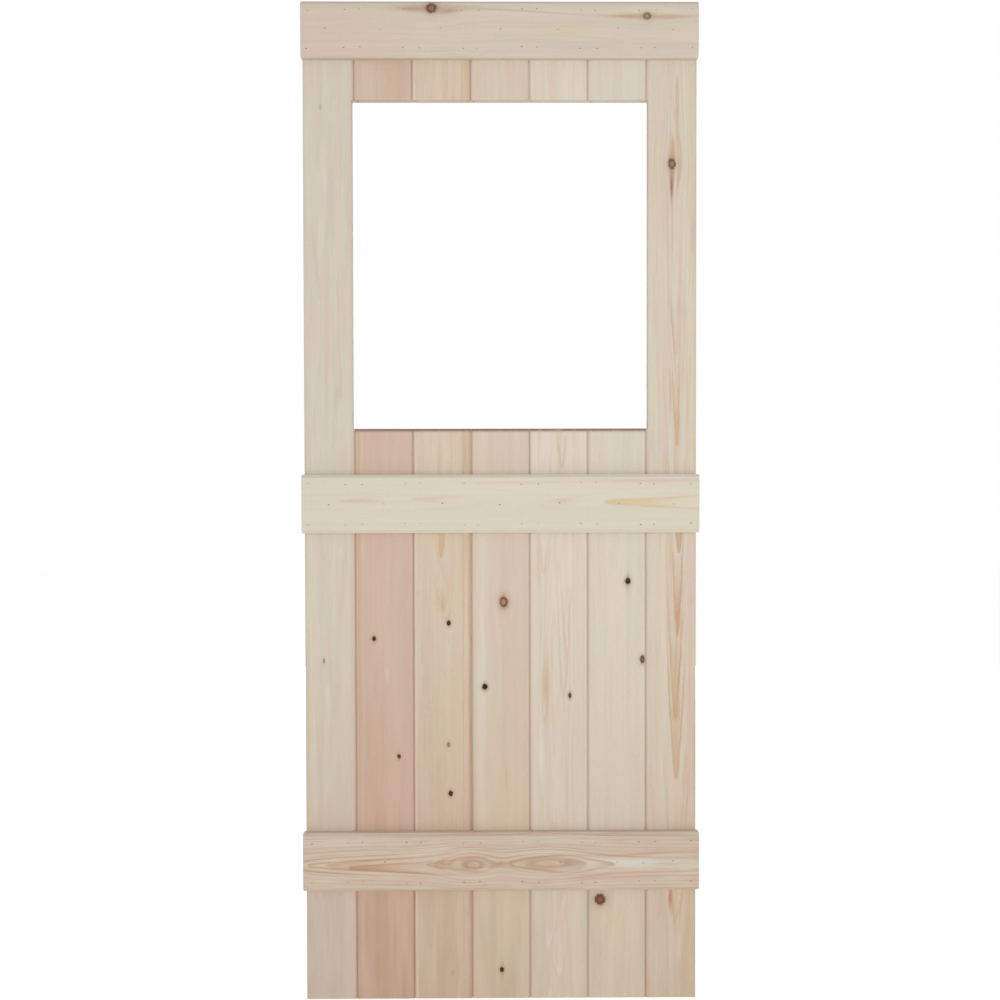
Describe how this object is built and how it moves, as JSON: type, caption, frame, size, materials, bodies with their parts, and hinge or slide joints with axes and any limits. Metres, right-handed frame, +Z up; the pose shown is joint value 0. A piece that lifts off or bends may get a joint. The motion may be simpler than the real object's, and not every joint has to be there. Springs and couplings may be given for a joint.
{
  "type": "ledged interior door leaf",
  "caption": "Ledged door leaf of tongued and grooved V-jointed softwood boards nailed to three chamfered ledges, with a rectangular window opening in its upper half.",
  "frame": {"origin": "centre of the foot: the middle of the leaf's width and of its whole depth, on the line of the board ends", "axes": "+Z up the leaf, +X to the right as seen from the ledge side, +Y from the ledge side to the plain side"},
  "size_m": [0.788, 0.04, 1.981],
  "materials": {
    "board_1": "planed bare softwood",
    "board_2": "planed bare softwood",
    "board_3": "planed bare softwood",
    "board_4": "planed bare softwood",
    "board_5": "planed bare softwood",
    "board_6": "planed bare softwood",
    "board_7": "planed bare softwood",
    "ledge_top": "planed bare softwood",
    "ledge_middle": "planed bare softwood",
    "ledge_bottom": "planed bare softwood",
    "nail_steel": "dull bright wire"
  },
  "bodies": {
    "root": {"board_1_left": "board_1", "board_2_lower": "board_2", "board_2_upper": "board_2", "board_3_lower": "board_3", "board_3_upper": "board_3", "board_4_lower": "board_4", "board_4_upper": "board_4", "board_5_lower": "board_5", "board_5_upper": "board_5", "board_6_lower": "board_6", "board_6_upper": "board_6", "board_7_right": "board_7", "ledge_top": "ledge_top", "ledge_middle": "ledge_middle", "ledge_bottom": "ledge_bottom", "nails_ledge_top": "nail_steel", "nails_ledge_middle": "nail_steel", "nails_ledge_bottom": "nail_steel"}
  },
  "joints": []
}
